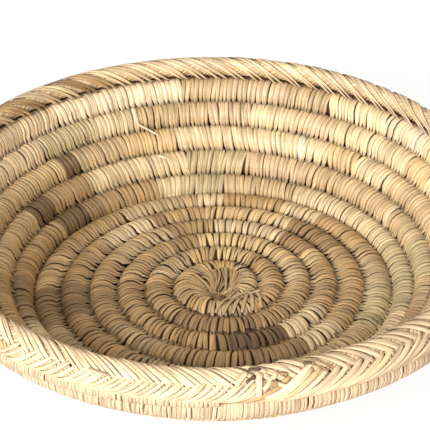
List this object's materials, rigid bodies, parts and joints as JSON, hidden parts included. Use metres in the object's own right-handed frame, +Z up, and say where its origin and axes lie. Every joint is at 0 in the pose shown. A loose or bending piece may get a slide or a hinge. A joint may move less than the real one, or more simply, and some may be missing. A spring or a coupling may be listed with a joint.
{
  "type": "coiled bread basket",
  "caption": "Wide shallow round basket, coiled from wrapped palm leaf, with a plaited herringbone border at the rim; holds bread or fruit.",
  "frame": {"origin": "middle of the foot, on the surface the basket stands on", "axes": "+Z up through the bowl, -Y towards the side that the picture shows nearest"},
  "size_m": [0.3506, 0.3442, 0.0861],
  "materials": {
    "leaf_straw": "dried palm leaf, pale straw, dull with a faint sheen",
    "leaf_gold": "dried palm leaf, golden, faint sheen",
    "leaf_tan": "dried palm leaf, tan, dull",
    "leaf_brown": "dried palm leaf, brown, dull",
    "leaf_dark": "dried palm leaf, very dark brown, dull",
    "leaf_green": "dried palm leaf, greenish grey, dull",
    "leaf_pink": "dried palm leaf, pinkish beige, dull",
    "leaf_ribs": "bundle of palm leaf ribs and fibre, hidden inside the wraps",
    "border_leaf": "dried palm leaf, plaited flat strips, pale cream"
  },
  "bodies": {
    "root": {"start_curl": "leaf_tan", "foundation_bundle": "leaf_ribs", "floor_wrap_01": "leaf_tan", "floor_wrap_02": "leaf_straw", "floor_wrap_03": "leaf_tan", "floor_wrap_04": "leaf_gold", "floor_wrap_05": "leaf_dark", "floor_wrap_06": "leaf_tan", "floor_wrap_07": "leaf_dark", "floor_wrap_08": "leaf_brown", "floor_wrap_09": "leaf_tan", "floor_wrap_10": "leaf_pink", "floor_wrap_11": "leaf_brown", "floor_wrap_12": "leaf_dark", "floor_wrap_13": "leaf_tan", "wall_wrap_01": "leaf_pink", "wall_wrap_02": "leaf_tan", "wall_wrap_03": "leaf_gold", "wall_wrap_04": "leaf_brown", "wall_wrap_05": "leaf_straw", "wall_wrap_06": "leaf_tan", "wall_wrap_07": "leaf_pink", "wall_wrap_08": "leaf_green", "wall_wrap_09": "leaf_gold", "wall_wrap_10": "leaf_dark", "wall_wrap_11": "leaf_tan", "wall_wrap_12": "leaf_straw", "wall_wrap_13": "leaf_straw", "wall_wrap_14": "leaf_gold", "wall_wrap_15": "leaf_straw", "wall_wrap_16": "leaf_dark", "wall_wrap_17": "leaf_gold", "wall_wrap_18": "leaf_pink", "wall_wrap_19": "leaf_straw", "wall_wrap_20": "leaf_brown", "wall_wrap_21": "leaf_gold", "wall_wrap_22": "leaf_green", "wall_wrap_23": "leaf_tan", "wall_wrap_24": "leaf_gold", "wall_wrap_25": "leaf_gold", "wall_wrap_26": "leaf_pink", "wall_wrap_27": "leaf_straw", "wall_wrap_28": "leaf_gold", "wall_wrap_29": "leaf_tan", "wall_wrap_30": "leaf_straw", "wall_wrap_31": "leaf_straw", "tail_wrap_01": "leaf_straw", "border_plait_1": "border_leaf", "border_plait_2": "border_leaf", "border_plait_3": "border_leaf", "border_plait_4": "border_leaf", "border_plait_5": "border_leaf", "border_plait_6": "border_leaf", "border_plait_7": "border_leaf", "border_plait_8": "border_leaf", "loose_strip_long": "border_leaf", "loose_strip_stub": "border_leaf"}
  },
  "joints": []
}
